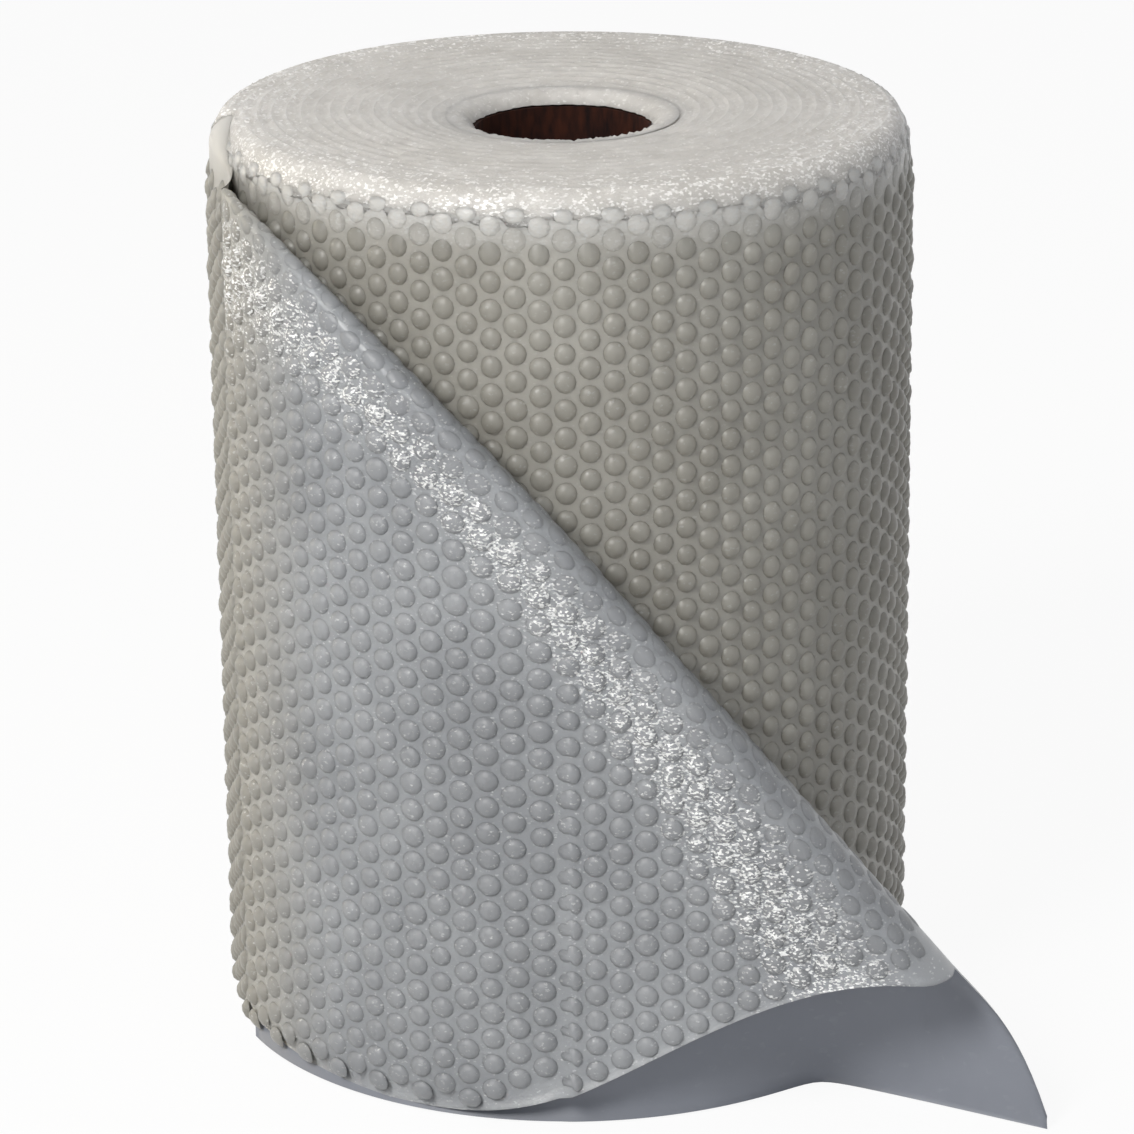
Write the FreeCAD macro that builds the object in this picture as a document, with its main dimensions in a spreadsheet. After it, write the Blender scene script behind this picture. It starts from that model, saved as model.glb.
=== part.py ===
import FreeCAD, Part
import math
import os

# A standing roll of small-bubble wrap on a cardboard tube, with its loose end folded
# back behind itself along a slanting crease. Lengths are millimetres, angles degrees.
# The roll's axis is Z, its foot is on z = 0 and the loose end lies towards +X, -Y.

document = FreeCAD.newDocument("bubble_wrap_roll")
sizes = document.addObject("Spreadsheet::Sheet", "Sizes")

drivingSizes = [
    # the roll and its tube
    ("outerRadius", 155.0, "radius of the wound roll"),
    ("rollWidth", 410.0, "width of the sheet, the roll's height as it stands"),
    ("boreRadius", 38.0, "three inch tube, inside"),
    ("tubeWall", 5.0, "wall of the tube"),
    ("tubeFit", 0.9, "tube to the corners of the first turn"),
    ("tubeRecess", 5.0, "tube's end below the wrap around it"),
    ("sheetThickness", 5.4, "film and the bubbles on it"),
    ("turnGap", 0.6, "least gap between two turns"),
    ("bubbleSpacing", 12.0, "bubble to bubble in a column, which stands parallel to the axis"),
    ("bubbleHeight", 2.9, "bubble above the film"),
    ("topRound", 12.0, "rounding of the upper rim"),
    ("footRound", 10.0, "rounding of the lower rim"),
    ("dishDepth", 5.0, "how far the turns at the tube sink below the rim"),
    ("dishRadius", 60.0, "where the sinking starts"),
    # the loose end
    ("layerGap", 1.0, "folded layer to the turn under it"),
    ("foldStartDegrees", 155.0, "where the crease leaves the rim, measured back from +X"),
    ("foldTop", 396.0, "height of the crease at its start"),
    ("foldFront", 274.0, "height of the crease at the front of the roll"),
    ("foldLow", 82.0, "height of the crease where it turns down to the tip"),
    ("foldBendFront", 12.5, "radius of the fold at the front of the roll"),
    ("foldBendFull", 23.0, "radius of the fold at its widest"),
    ("tipReach", 206.0, "x of the tip on the floor"),
    ("tipFlap", 54.0, "width of the bare flap between the lower edge and the tip"),
    ("tipTurn", 46.0, "last stretch of the crease, which turns down to the tip"),
    ("tipFront", 169.0, "distance of the tip in front of the axis"),
    ("rimStart", 8.0, "height of the front layer's lower edge where it leaves the roll"),
    ("rimEnd", 77.0, "height of that edge where it runs into the fold"),
    ("floorBend", 107.0, "x where the folded layer's foot leaves the roll"),
    ("floorBendRound", 12.0, "how gently it does so"),
    ("looseThinner", 0.4, "how much flatter the loose sheet is than a wound turn"),
    ("floorGap", 0.6, "lower edges of the loose end above the floor"),
]
for row, (alias, number, note) in enumerate(drivingSizes, start=1):
    sizes.set("A%d" % row, alias)
    sizes.set("B%d" % row, str(number))
    sizes.set("C%d" % row, note)
    sizes.setAlias("B%d" % row, alias)
document.recompute()


def value(alias):
    return float(sizes.get(alias))


# sizes that follow from the driving ones
thickness = value("sheetThickness")
tubeRadius = value("boreRadius") + value("tubeWall")
woundDepth = value("outerRadius") - thickness - tubeRadius - value("tubeFit")
turns = int(woundDepth / (thickness + value("turnGap")))
pitch = woundDepth / turns
arcTurns = 2
endRadius = value("outerRadius") - thickness / 2
startAngle = math.radians(-value("foldStartDegrees"))
looseThickness = thickness - value("looseThinner")
tightBend = (thickness + value("layerGap")) / 2
ribSpacing = math.sqrt(3) * value("bubbleSpacing")
wrapEdge = value("tipReach") - value("tipFlap")
straightEnd = value("tipReach") - value("tipTurn")
foldSlope = (value("foldFront") - value("foldLow")) / straightEnd
hugRibs = round((-math.pi / 2 - startAngle) * value("outerRadius") / ribSpacing)
straightRibs = round(wrapEdge / ribSpacing)


# the core tube
def coreTube():
    wall = document.addObject("Part::Cylinder", "TubeOutside")
    wall.setExpression("Radius", "Sizes.boreRadius + Sizes.tubeWall")
    wall.setExpression("Height", "Sizes.rollWidth - Sizes.dishDepth - Sizes.tubeRecess")
    bore = document.addObject("Part::Cylinder", "TubeBore")
    bore.setExpression("Radius", "Sizes.boreRadius")
    bore.setExpression("Height", "Sizes.rollWidth - Sizes.dishDepth - Sizes.tubeRecess")
    tube = document.addObject("Part::Cut", "CoreTube")
    tube.Base = wall
    tube.Tool = bore
    tube.Label = "core_tube"
    return tube


# Bubbles stand in columns, and every second column is drawn as one rib of three straight
# runs. This is the ribbed line along an arc, which starts and ends between two ribs.
def ribbedLine(centre, radius, first, last):
    ribs = max(round(radius * abs(last - first) / ribSpacing), 1)
    valley = radius - value("bubbleHeight")
    points = []
    for rib in range(ribs):
        for share, distance in ((0.0, valley), (0.3, radius), (0.7, radius)):
            angle = first + (last - first) * (rib + share) / ribs
            points.append(centre + onCircle(distance, angle))
    points.append(centre + onCircle(valley, last))
    return Part.makePolygon(points).Edges


def onCircle(radius, angle):
    return FreeCAD.Vector(radius * math.cos(angle), radius * math.sin(angle), 0)


# One side of the wound strip, from the tube outwards. The turns grow anticlockwise and
# end on the -X side. Two outer turns are true arcs, half a turn at a time, about two
# centres on the X axis a half pitch apart, and the last one has its ribs outside. The
# turns inside them show only their ends, so they are a spiral of short straight runs.
def spiralSide(offset):
    runsPerTurn = 20
    innerTurns = turns - arcTurns
    points = []
    for step in range(innerTurns * runsPerTurn + 1):
        angle = math.pi + 2 * math.pi * step / runsPerTurn
        radius = endRadius - turns * pitch + pitch * step / runsPerTurn + offset
        points.append(onCircle(radius, angle))
    edges = Part.makePolygon(points).Edges
    for half in range(2 * arcTurns - 1, -1, -1):
        backHalf = half % 2 == 0
        centre = FreeCAD.Vector(-pitch / 4 if backHalf else pitch / 4, 0, 0)
        radius = endRadius - pitch / 4 - half * pitch / 2 + offset
        first = 0.0 if backHalf else math.pi
        if offset > 0 and half < 2:
            ribbed = ribbedLine(centre, radius, first, first + math.pi)
            edges += stepDown(edges[-1], ribbed[0]) + ribbed
        else:
            circle = Part.Circle(centre, FreeCAD.Vector(0, 0, 1), radius)
            edges.append(circle.toShape(first, first + math.pi))
    return edges


# the short line into the first valley, where the side before it has no ribs
def stepDown(before, after):
    start = before.valueAt(before.LastParameter)
    end = after.Vertexes[0].Point
    return [] if start.distanceToPoint(end) < 0.01 else [Part.makeLine(start, end)]


def spiralFace():
    outside = spiralSide(thickness / 2)
    inside = spiralSide(-thickness / 2)
    innerEnd = Part.makeLine(inside[0].Vertexes[0].Point, outside[0].Vertexes[0].Point)
    outerEnd = Part.makeLine(inside[-1].Vertexes[-1].Point, outside[-1].Vertexes[-1].Point)
    return Part.Face(Part.Wire(Part.__sortEdges__(outside + inside + [innerEnd, outerEnd])))


# The solid that the ends of the turns are trimmed to: rounded rims, drawn with two
# slants each, and a dish around the tube.
def trimProfile():
    outer = value("outerRadius") + value("turnGap") / 2
    top = value("rollWidth")
    corner = 1 - math.sqrt(0.5)
    topRound = value("topRound")
    footRound = value("footRound")
    corners = [
        (0, 0),
        (outer - footRound, 0),
        (outer - corner * footRound, corner * footRound),
        (outer, footRound),
        (outer, top - topRound),
        (outer - corner * topRound, top - corner * topRound),
        (outer - topRound, top),
        (value("dishRadius"), top),
        (value("boreRadius"), top - value("dishDepth")),
        (0, top - value("dishDepth")),
    ]
    points = [FreeCAD.Vector(across, 0, up) for across, up in corners]
    return Part.Face(Part.makePolygon(points + points[:1]))


def woundTurns():
    face = document.addObject("Part::Feature", "TurnsFace")
    face.Shape = spiralFace()
    turnsSolid = document.addObject("Part::Extrusion", "TurnsUncut")
    turnsSolid.Base = face
    turnsSolid.DirMode = "Custom"
    turnsSolid.Dir = FreeCAD.Vector(0, 0, 1)
    turnsSolid.Solid = True
    turnsSolid.setExpression("LengthFwd", "Sizes.rollWidth")

    profile = document.addObject("Part::Feature", "TrimProfile")
    profile.Shape = trimProfile()
    trim = document.addObject("Part::Revolution", "Trim")
    trim.Source = profile
    trim.Axis = FreeCAD.Vector(0, 0, 1)
    trim.Angle = 360
    trim.Solid = True

    wound = document.addObject("Part::MultiCommon", "Turns")
    wound.Shapes = [turnsSolid, trim]
    return wound


# radius of the middle of the folded layer where it lies on the roll
def layerRadius(angle):
    underTurn = value("outerRadius") - pitch + pitch * (angle + math.pi) / (2 * math.pi)
    return underTurn + value("layerGap") + thickness / 2


# The outermost turn's last stretch, on a wider arc that is tangent to the roll and
# carries it out over the folded layer.
def liftedTurn():
    reach = layerRadius(startAngle) + 2 * tightBend
    along = reach * math.cos(startAngle)
    centreX = (reach ** 2 - endRadius ** 2) / (2 * (endRadius + along))
    wideRadius = endRadius + centreX
    direction = FreeCAD.Vector(math.cos(startAngle), math.sin(startAngle), 0)

    def onRay(radius):
        # distance from the axis at which the ray of the fold's start meets the arc
        half = centreX * math.cos(startAngle)
        return half + math.sqrt(half ** 2 + radius ** 2 - centreX ** 2)

    centre = FreeCAD.Vector(centreX, 0, 0)
    innerRadius = wideRadius - thickness / 2
    end = direction * onRay(innerRadius)
    endAngle = math.pi + math.atan2(-end.y, centreX - end.x)
    middle = centre + onCircle(innerRadius, (math.pi + endAngle) / 2)
    inside = Part.Arc(centre + onCircle(innerRadius, math.pi), middle, end).toShape()
    outerRadius = wideRadius + thickness / 2
    outerEnd = direction * onRay(outerRadius)
    outerAngle = math.pi + math.atan2(-outerEnd.y, centreX - outerEnd.x)
    outside = ribbedLine(centre, outerRadius, math.pi, outerAngle)
    edges = outside + [
        Part.makeLine(outside[-1].Vertexes[-1].Point, end),
        Part.makeLine(inside.valueAt(inside.FirstParameter), outside[0].Vertexes[0].Point),
        inside,
    ]
    face = document.addObject("Part::Feature", "LiftedFace")
    face.Shape = Part.Face(Part.Wire(Part.__sortEdges__(edges)))
    face.Placement.Base.z = value("footRound")
    lifted = document.addObject("Part::Extrusion", "LiftedTurn")
    lifted.Base = face
    lifted.DirMode = "Custom"
    lifted.Dir = FreeCAD.Vector(0, 0, 1)
    lifted.Solid = True
    lifted.setExpression("LengthFwd", "Sizes.rollWidth - Sizes.topRound - Sizes.footRound - 3")
    return lifted


def hermite(share, first, last, firstSlope, lastSlope):
    square = share * share
    cube = square * share
    return ((2 * cube - 3 * square + 1) * first + (cube - 2 * square + share) * firstSlope
            + (3 * square - 2 * cube) * last + (cube - square) * lastSlope)


# Sections of the loose end. Each is a hairpin in an upright plane: the front layer, the
# fold over the top and the folded layer behind it. "share" runs from 0 at the fold's
# start to 1 at the front of the roll, "reach" is x on the straight stretch beyond it.
# A section lies on the crest of a rib or in the groove between two, and its fold is a
# few straight runs.
def hugSection(share):
    angle = startAngle + (-math.pi / 2 - startAngle) * share
    arc = (-math.pi / 2 - startAngle) * value("outerRadius")
    crest = hermite(share, value("foldTop"), value("foldFront"),
                    -0.1 * arc, -foldSlope * arc)
    bend = tightBend + (value("foldBendFront") - tightBend) * share
    back = layerRadius(angle)
    low = rimHeight((share - 0.65) / 1.25)
    outward = FreeCAD.Vector(math.cos(angle), math.sin(angle), 0)
    front = back + 2 * tightBend + 0.5 * (bend - tightBend)
    return hairpin(FreeCAD.Vector(0, 0, 0), outward, crest, bend, back, front, back,
                   low, -90.0, groove(share * hugRibs))


def smooth(share):
    held = min(max(share, 0.0), 1.0)
    return held * held * (3 - 2 * held)


# depth below the crests, "place" being a whole number between two ribs
def groove(place):
    return value("bubbleHeight") * abs(1 - 2 * (place % 1.0))


def rimHeight(share):
    return value("rimStart") + (value("rimEnd") - value("rimStart")) * smooth(share)


def straightSection(reach):
    share = reach / value("tipReach")
    if reach <= straightEnd:
        crest = value("foldFront") - foldSlope * reach
    else:
        last = value("tipTurn")
        crest = hermite((reach - straightEnd) / last, value("foldLow"), 0.0,
                        -foldSlope * last, -3.5 * last)
    frontBack = layerRadius(-math.pi / 2)
    lineStart = frontBack + value("foldBendFront")
    middle = lineStart + (value("tipFront") - lineStart) * share
    if reach <= wrapEdge:
        bend = value("foldBendFront") + (value("foldBendFull") - value("foldBendFront")) * smooth(
            reach / wrapEdge)
        startTurn = -90.0
    else:
        left = (reach - wrapEdge) / (value("tipReach") - wrapEdge)
        bend = value("foldBendFull") + (tightBend - value("foldBendFull")) * left
        startTurn = -90.0 + 130.0 * left ** 0.5
    back = middle - bend
    rising = smooth((share * value("tipReach") / wrapEdge + 1) / 2)
    front = back + 2 * tightBend + 2 * (bend - tightBend) * (0.25 + 0.75 * rising ** 2)
    low = rimHeight((0.35 + reach / wrapEdge) / 1.25)
    onRoll = math.sqrt(max(frontBack ** 2 - reach ** 2, 0.0))
    leave = math.sqrt(max(frontBack ** 2 - value("floorBend") ** 2, 0.0))
    slope = (value("tipFront") - leave) / (value("tipReach") - value("floorBend"))
    onFloor = leave + slope * (reach - value("floorBend"))
    apart = math.hypot(onRoll - onFloor, value("floorBendRound"))
    foot = (onRoll + onFloor + apart) / 2
    return hairpin(FreeCAD.Vector(reach, 0, 0), FreeCAD.Vector(0, -1, 0), crest, bend,
                   back, front, foot, low, startTurn, groove(reach / wrapEdge * straightRibs))


def hairpin(base, outward, crest, bend, back, front, foot, low, startTurn, deep):
    half = looseThickness / 2
    centre = crest - half - bend

    def at(distance, height):
        return base + outward * distance + FreeCAD.Vector(0, 0, height)

    def onBend(turn, radius):
        bow = math.radians(turn)
        return at(back + bend - radius * math.sin(bow), centre + radius * math.cos(bow))

    wide = bend + half - deep
    tight = bend - half
    foldRuns = 6
    turned = [startTurn + (90.0 - startTurn) * run / foldRuns for run in range(foldRuns + 1)]
    bow = math.radians(startTurn)
    downX = math.cos(bow)
    downZ = math.sin(bow)
    if startTurn <= -90.0 and centre > low + 3:
        outerLow = at(front + half - deep, low)
        innerLow = at(front - half, low)
    else:
        run = 2.0
        outerLow = onBend(startTurn, wide) + outward * (run * downX) + FreeCAD.Vector(0, 0, run * downZ)
        innerLow = onBend(startTurn, tight) + outward * (run * downX) + FreeCAD.Vector(0, 0, run * downZ)
    floor = value("floorGap")
    points = [outerLow]
    points += [onBend(turn, wide) for turn in turned]
    points += [at(foot - half, floor), at(foot + half, floor)]
    points += [onBend(turn, tight) for turn in reversed(turned)]
    points += [innerLow, outerLow]
    return Part.makePolygon(points)


def looseEnd():
    sections = []
    hugSteps = 2 * hugRibs
    straightSteps = 2 * straightRibs
    reaches = [wrapEdge * step / straightSteps for step in range(1, straightSteps + 1)]
    reaches += [wrapEdge + value("tipFlap") * part for part in (0.08, 0.2, 0.4, 0.6, 0.8, 0.95)]
    for step in range(hugSteps + 1):
        sections.append(hugSection(step / hugSteps))
    for reach in reaches:
        sections.append(straightSection(reach))
    features = []
    for number, wire in enumerate(sections, start=1):
        feature = document.addObject("Part::Feature", "LooseSection%d" % number)
        feature.Shape = wire
        features.append(feature)
    loft = document.addObject("Part::Loft", "LooseEnd")
    loft.Sections = features
    loft.Solid = True
    loft.Ruled = True
    return loft


def bubbleWrap():
    wrap = document.addObject("Part::MultiFuse", "BubbleWrap")
    wrap.Shapes = [woundTurns(), liftedTurn(), looseEnd()]
    wrap.Label = "bubble_wrap"
    return wrap


nodes = [coreTube(), bubbleWrap()]
document.recompute()

for item in document.Objects:
    if "Invalid" in item.State or "Error" in item.State:
        raise RuntimeError("%s did not build" % item.Name)
    if hasattr(item, "Shape") and (item.Shape.isNull() or not item.Shape.isValid()):
        raise RuntimeError("%s has no valid shape" % item.Name)

os.makedirs("parts", exist_ok=True)
for node in nodes:
    node.Shape.exportStep("parts/%s.step" % node.Label)
    print(node.Label, len(node.Shape.Solids), "solid", round(node.Shape.Volume / 1e6, 3), "dm3")
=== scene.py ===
import math

import bpy
import numpy as np
from mathutils import Matrix, Vector


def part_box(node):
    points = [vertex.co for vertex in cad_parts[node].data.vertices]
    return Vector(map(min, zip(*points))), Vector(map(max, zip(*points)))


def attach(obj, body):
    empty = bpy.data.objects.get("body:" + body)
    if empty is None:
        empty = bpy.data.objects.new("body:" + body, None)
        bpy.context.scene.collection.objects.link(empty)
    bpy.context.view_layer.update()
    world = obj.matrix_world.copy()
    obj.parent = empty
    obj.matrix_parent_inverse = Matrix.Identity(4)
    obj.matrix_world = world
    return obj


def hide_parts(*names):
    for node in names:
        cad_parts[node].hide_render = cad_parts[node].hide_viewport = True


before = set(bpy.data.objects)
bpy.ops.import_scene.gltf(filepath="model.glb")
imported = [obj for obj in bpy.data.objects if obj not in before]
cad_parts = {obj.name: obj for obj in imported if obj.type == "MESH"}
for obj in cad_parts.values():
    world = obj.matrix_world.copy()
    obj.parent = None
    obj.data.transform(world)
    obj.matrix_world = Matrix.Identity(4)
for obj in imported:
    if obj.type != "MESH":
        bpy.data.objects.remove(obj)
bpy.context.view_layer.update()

# Looks of a standing roll of small-bubble wrap. Metres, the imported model's own frame:
# the axis is Z, the foot is on z = 0 and the loose end lies towards +X, -Y.
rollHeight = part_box("bubble_wrap")[1][2]
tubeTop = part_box("core_tube")[1][2]


# Camera, lamps and floor

camera = {
    "place": (0.0, -2.0626, 0.9162),
    "lookDown": 19.19,    # degrees
    "lean": 0.585,        # degrees, the roll leans a little in the picture
    "lens": 155.1,        # millimetres, on a 36 mm sensor
    "farEnd": 30.0,       # nothing is drawn beyond it
}
lamps = {
    "key": {"place": (-1.4, -2.1, 2.25), "size": 1.0, "power": 73.0, "colour": (1.0, 0.985, 0.955)},
    "fill": {"place": (1.6, -2.2, 1.0), "size": 1.4, "power": 2.5, "colour": (0.80, 0.90, 1.0)},
    "edge": {"place": (-1.9, 0.8, 0.7), "size": 0.9, "power": 7.0, "colour": (1.0, 0.88, 0.66)},
}
backdrop = {
    "ambient": (0.26, 0.265, 0.277),    # what the world lends the object
    "floorHalf": 4.0,
    "floorDrop": 0.0005,                # keeps the floor clear of the roll's foot
    "floorColour": (0.94, 0.94, 0.94),
    "floorRough": 0.9,
    "floorShine": 0.1,
    "floorWhite": 0.93,                 # share of plain white that the camera sees in the floor
}


def addObject(name, data):
    thing = bpy.data.objects.new(name, data)
    bpy.context.scene.collection.objects.link(thing)
    return thing


def makeCamera():
    data = bpy.data.cameras.new("photo_camera")
    data.lens = camera["lens"]
    data.clip_end = camera["farEnd"]
    thing = addObject("photo_camera", data)
    tilt = Matrix.Rotation(math.radians(90.0 - camera["lookDown"]), 4, "X")
    lean = Matrix.Rotation(math.radians(-camera["lean"]), 4, "Z")
    thing.matrix_world = Matrix.Translation(Vector(camera["place"])) @ tilt @ lean
    bpy.context.scene.camera = thing


def makeLamp(name, look):
    data = bpy.data.lights.new(name, "AREA")
    data.shape = "DISK"
    data.size = look["size"]
    data.energy = look["power"]
    data.color = look["colour"]
    thing = addObject(name, data)
    thing.location = look["place"]
    towards = Vector((0.0, 0.0, rollHeight / 2)) - Vector(look["place"])
    thing.rotation_euler = towards.to_track_quat("-Z", "Y").to_euler()


def newMaterial(name):
    material = bpy.data.materials.new(name)
    material.use_nodes = True
    return material, material.node_tree, material.node_tree.nodes["Principled BSDF"]


def seenShare(tree):
    # 1 for rays that show the backdrop itself, 0 for those that light the object
    path = tree.nodes.new("ShaderNodeLightPath")
    mirrored = tree.nodes.new("ShaderNodeMath")
    mirrored.operation = "MAXIMUM"
    seen = tree.nodes.new("ShaderNodeMath")
    seen.operation = "MAXIMUM"
    tree.links.new(path.outputs["Is Glossy Ray"], mirrored.inputs[0])
    tree.links.new(path.outputs["Is Transmission Ray"], mirrored.inputs[1])
    tree.links.new(path.outputs["Is Camera Ray"], seen.inputs[0])
    tree.links.new(mirrored.outputs[0], seen.inputs[1])
    return seen.outputs[0]


def makeWorld():
    world = bpy.data.worlds.new("studio")
    bpy.context.scene.world = world
    world.use_nodes = True
    tree = world.node_tree
    tree.nodes.clear()
    output = tree.nodes.new("ShaderNodeOutputWorld")
    ambient = tree.nodes.new("ShaderNodeBackground")
    white = tree.nodes.new("ShaderNodeBackground")
    mix = tree.nodes.new("ShaderNodeMixShader")
    ambient.inputs["Color"].default_value = (*backdrop["ambient"], 1.0)
    white.inputs["Color"].default_value = (1.0, 1.0, 1.0, 1.0)
    tree.links.new(seenShare(tree), mix.inputs["Fac"])
    tree.links.new(ambient.outputs[0], mix.inputs[1])
    tree.links.new(white.outputs[0], mix.inputs[2])
    tree.links.new(mix.outputs[0], output.inputs["Surface"])


def makeFloor():
    half = backdrop["floorHalf"]
    mesh = bpy.data.meshes.new("studio_floor")
    corners = [(-half, -half, 0), (half, -half, 0), (half, half, 0), (-half, half, 0)]
    mesh.from_pydata(corners, [], [(0, 1, 2, 3)])
    floor = addObject("studio_floor", mesh)
    floor.location.z = -backdrop["floorDrop"]
    material, tree, paper = newMaterial("floor_paper")
    paper.inputs["Base Color"].default_value = (*backdrop["floorColour"], 1.0)
    paper.inputs["Roughness"].default_value = backdrop["floorRough"]
    paper.inputs["Specular IOR Level"].default_value = backdrop["floorShine"]
    white = tree.nodes.new("ShaderNodeEmission")
    share = tree.nodes.new("ShaderNodeMath")
    share.operation = "MULTIPLY"
    share.inputs[1].default_value = backdrop["floorWhite"]
    mix = tree.nodes.new("ShaderNodeMixShader")
    tree.links.new(seenShare(tree), share.inputs[0])
    tree.links.new(share.outputs[0], mix.inputs["Fac"])
    tree.links.new(paper.outputs[0], mix.inputs[1])
    tree.links.new(white.outputs[0], mix.inputs[2])
    tree.links.new(mix.outputs[0], tree.nodes["Material Output"].inputs["Surface"])
    mesh.materials.append(material)


# Finishes

def addMath(tree, operation, first, second):
    node = tree.nodes.new("ShaderNodeMath")
    node.operation = operation
    for socket, source in zip(node.inputs, (first, second)):
        if isinstance(source, (int, float)):
            socket.default_value = source
        else:
            tree.links.new(source, socket)
    return node.outputs[0]


def addRamp(tree, source, span, look):
    # from a finish's dark colour to its light one
    ramp = tree.nodes.new("ShaderNodeValToRGB")
    for element, position, colour in zip(ramp.color_ramp.elements, span, (look["dark"], look["light"])):
        element.position = position
        element.color = (*colour, 1.0)
    tree.links.new(source, ramp.inputs["Fac"])
    return ramp.outputs["Color"]


def addBlend(tree, share, under, colour):
    blend = tree.nodes.new("ShaderNodeMix")
    blend.data_type = "RGBA"
    blend.inputs["B"].default_value = (*colour, 1.0)
    tree.links.new(share, blend.inputs["Factor"])
    tree.links.new(under, blend.inputs["A"])
    return blend.outputs["Result"]


def addBump(tree, source, look):
    bump = tree.nodes.new("ShaderNodeBump")
    bump.inputs["Strength"].default_value = look["bump"]
    bump.inputs["Distance"].default_value = look["bumpDepth"]
    tree.links.new(source, bump.inputs["Height"])
    return bump.outputs["Normal"]


creasing = {
    "slant": 0.6,           # radians, creases run slanting, like the fold
    "squash": 1.7,          # how much finer they are upwards than across
    "grain": 0.5,           # share of fine grain among them
    "crumpled": 0.42,       # how much crumpling adds to the chance of a painted glint
    "paintedGlintFrom": 1.19,      # chance at which a painted glint starts to show
    "paintedGlintFull": 1.48,
}


def makeCrinkles():
    # clouding, fine creases and small near-white painted glints on thin film, shared by every film
    group = bpy.data.node_groups.new("film_crinkles", "ShaderNodeTree")
    for name, usual in (("Crease Scale", 300.0), ("Cloud Scale", 14.0), ("Crinkle", 0.0)):
        socket = group.interface.new_socket(name=name, in_out="INPUT", socket_type="NodeSocketFloat")
        socket.default_value = usual
    for name in ("Height", "Cloud", "Painted Glint And Coat"):
        group.interface.new_socket(name=name, in_out="OUTPUT", socket_type="NodeSocketFloat")
    inside = group.nodes.new("NodeGroupInput")
    out = group.nodes.new("NodeGroupOutput")
    place = group.nodes.new("ShaderNodeTexCoord")

    def noise(scale, detail, roughness):
        node = group.nodes.new("ShaderNodeTexNoise")
        node.inputs["Detail"].default_value = detail
        node.inputs["Roughness"].default_value = roughness
        group.links.new(place.outputs["Object"], node.inputs["Vector"])
        group.links.new(scale, node.inputs["Scale"])
        return node.outputs["Fac"]

    grain = noise(inside.outputs["Crease Scale"], detail=3.0, roughness=0.6)
    cloud = noise(inside.outputs["Cloud Scale"], detail=4.0, roughness=0.55)
    cells = group.nodes.new("ShaderNodeTexVoronoi")
    cells.feature = "F1"
    drawn = group.nodes.new("ShaderNodeMapping")
    drawn.inputs["Rotation"].default_value = (0.0, creasing["slant"], 0.0)
    drawn.inputs["Scale"].default_value = (1.0, 1.0, creasing["squash"])
    group.links.new(place.outputs["Object"], drawn.inputs["Vector"])
    group.links.new(drawn.outputs["Vector"], cells.inputs["Vector"])
    group.links.new(inside.outputs["Crease Scale"], cells.inputs["Scale"])
    creases = addMath(group, "MULTIPLY", cells.outputs["Distance"], inside.outputs["Crinkle"])
    soft = addMath(group, "MULTIPLY", grain, creasing["grain"])
    group.links.new(addMath(group, "ADD", creases, soft), out.inputs["Height"])
    group.links.new(cloud, out.inputs["Cloud"])
    # painted glints: one crease in a few gets a near-white spot painted into its colour, more of them where
    # it is crinkled; the same mask raises the coat
    chance = group.nodes.new("ShaderNodeSeparateColor")
    group.links.new(cells.outputs["Color"], chance.inputs["Color"])
    bright = addMath(group, "ADD", chance.outputs[0], soft)
    share = addMath(group, "MULTIPLY", inside.outputs["Crinkle"], creasing["crumpled"])
    paintedGlint = group.nodes.new("ShaderNodeMapRange")
    paintedGlint.inputs["From Min"].default_value = creasing["paintedGlintFrom"]
    paintedGlint.inputs["From Max"].default_value = creasing["paintedGlintFull"]
    group.links.new(addMath(group, "ADD", bright, share), paintedGlint.inputs["Value"])
    group.links.new(paintedGlint.outputs["Result"], out.inputs["Painted Glint And Coat"])
    return group


filmBody = {
    "cloudSpan": (0.36, 0.64),          # clouding runs from the dark colour to the light one
    "bending": 1.5,                     # index of refraction
    "milkyReach": (1.0, 0.95, 0.9),     # how far red, green and blue get in the film
}


def filmFinish(name, look):
    material, tree, shader = newMaterial(name)
    crinkle = tree.nodes.new("ShaderNodeAttribute")
    crinkle.attribute_name = "crinkle"
    edge = tree.nodes.new("ShaderNodeAttribute")    # 1 where a piece takes its neighbour's colour
    edge.attribute_name = "edge"
    group = tree.nodes.new("ShaderNodeGroup")
    group.node_tree = crinkles
    group.inputs["Crease Scale"].default_value = look["creaseScale"]
    group.inputs["Cloud Scale"].default_value = look["cloudScale"]
    tree.links.new(crinkle.outputs["Fac"], group.inputs["Crinkle"])

    plain = addRamp(tree, group.outputs["Cloud"], filmBody["cloudSpan"], look)
    plain = addBlend(tree, edge.outputs["Fac"], plain, look.get("edge", look["light"]))
    # painted glints: near-white spots blended into the base colour
    paintedGlints = addMath(tree, "MULTIPLY", group.outputs["Painted Glint And Coat"], look["paintedGlintShare"])
    tree.links.new(addBlend(tree, paintedGlints, plain, look["paintedGlint"]), shader.inputs["Base Color"])

    rough = tree.nodes.new("ShaderNodeMapRange")
    rough.inputs["To Min"].default_value = look["roughLow"]
    rough.inputs["To Max"].default_value = look["roughHigh"]
    tree.links.new(group.outputs["Cloud"], rough.inputs["Value"])
    tree.links.new(rough.outputs["Result"], shader.inputs["Roughness"])
    tree.links.new(addBump(tree, group.outputs["Height"], look), shader.inputs["Normal"])
    shader.inputs["IOR"].default_value = filmBody["bending"]
    gloss = addMath(tree, "MULTIPLY", group.outputs["Painted Glint And Coat"], look["coat"])
    tree.links.new(gloss, shader.inputs["Coat Weight"])
    shader.inputs["Coat Roughness"].default_value = look["coatRough"]
    shader.subsurface_method = "BURLEY"
    shader.inputs["Subsurface Weight"].default_value = look["milky"]
    shader.inputs["Subsurface Radius"].default_value = filmBody["milkyReach"]
    shader.inputs["Subsurface Scale"].default_value = look["milkyDepth"]
    return material


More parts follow.
